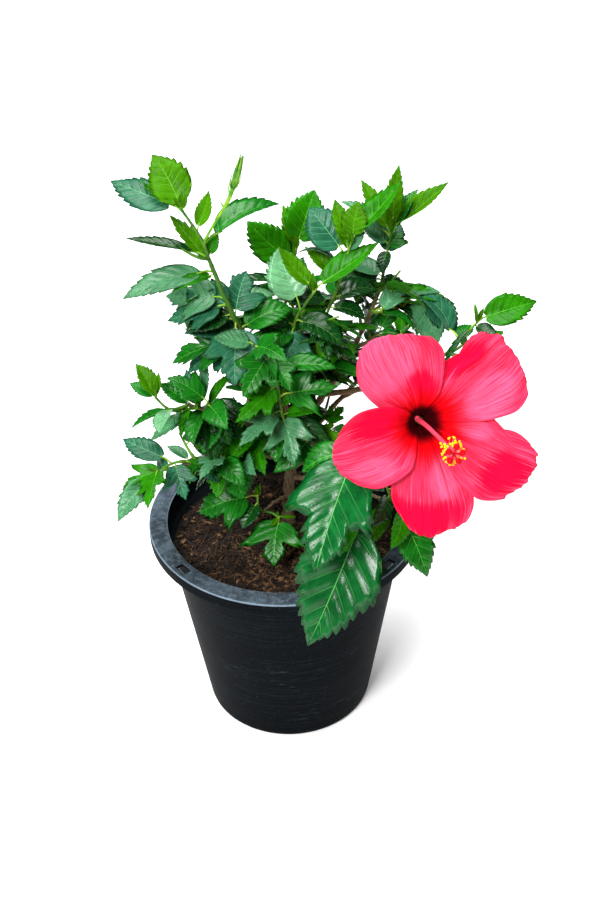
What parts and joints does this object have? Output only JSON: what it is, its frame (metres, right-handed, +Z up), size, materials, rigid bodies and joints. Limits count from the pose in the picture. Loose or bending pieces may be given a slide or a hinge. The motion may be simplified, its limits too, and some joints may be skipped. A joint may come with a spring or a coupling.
{
  "type": "potted hibiscus shrub",
  "caption": "Young hibiscus shrub in a round black nursery pot, with toothed green leaves on branching stems, a large open pink-red bloom and a closed bud.",
  "frame": {"origin": "centre of the pot's flat underside, on the surface that the pot stands on", "axes": "+Z up along the pot's axis; -Y towards the side that the bloom faces; +X towards the side that the bloom hangs on"},
  "size_m": [0.329, 0.269, 0.5471],
  "materials": {
    "pot_plastic": "satin black nursery-pot plastic, lightly scuffed",
    "potting_soil": "damp crumbly potting soil with bark and coir chips",
    "bark": "pale brown, finely cracked bark",
    "green_stem": "smooth green young stem",
    "foliage": "glossy dark green leaves",
    "young_foliage": "bright yellow-green young leaves",
    "petal": "soft satin pink-red petals",
    "flower_column": "soft pink-red column with yellow anthers"
  },
  "bodies": {
    "root": {"bloom_calyx": "green_stem", "bloom_column": "flower_column", "bloom_petal_1": "petal", "bloom_petal_2": "petal", "bloom_petal_3": "petal", "bloom_petal_4": "petal", "bloom_petal_5": "petal", "bough_back": "bark", "bough_back_left": "bark", "bough_back_right": "bark", "bough_bloom": "bark", "bough_front": "bark", "bough_left_low": "bark", "bough_left_side": "bark", "bough_left_top": "bark", "bough_low_front": "bark", "bough_low_right": "bark", "bough_middle": "bark", "bough_right_far": "bark", "bough_right_top": "bark", "bud_stalk": "green_stem", "flower_bud": "green_stem", "leaves_back": "foliage", "leaves_back_left": "foliage", "leaves_back_low": "foliage", "leaves_back_right": "foliage", "leaves_core": "foliage", "leaves_core_low": "foliage", "leaves_front": "foliage", "leaves_left_low": "foliage", "leaves_left_side": "foliage", "leaves_left_top": "young_foliage", "leaves_left_upper": "foliage", "leaves_middle_top": "young_foliage", "leaves_over_soil": "foliage", "leaves_right_far": "foliage", "leaves_right_low": "foliage", "leaves_right_tier": "foliage", "leaves_right_top": "young_foliage", "pot": "pot_plastic", "soil": "potting_soil", "trunk": "bark"}
  },
  "joints": []
}
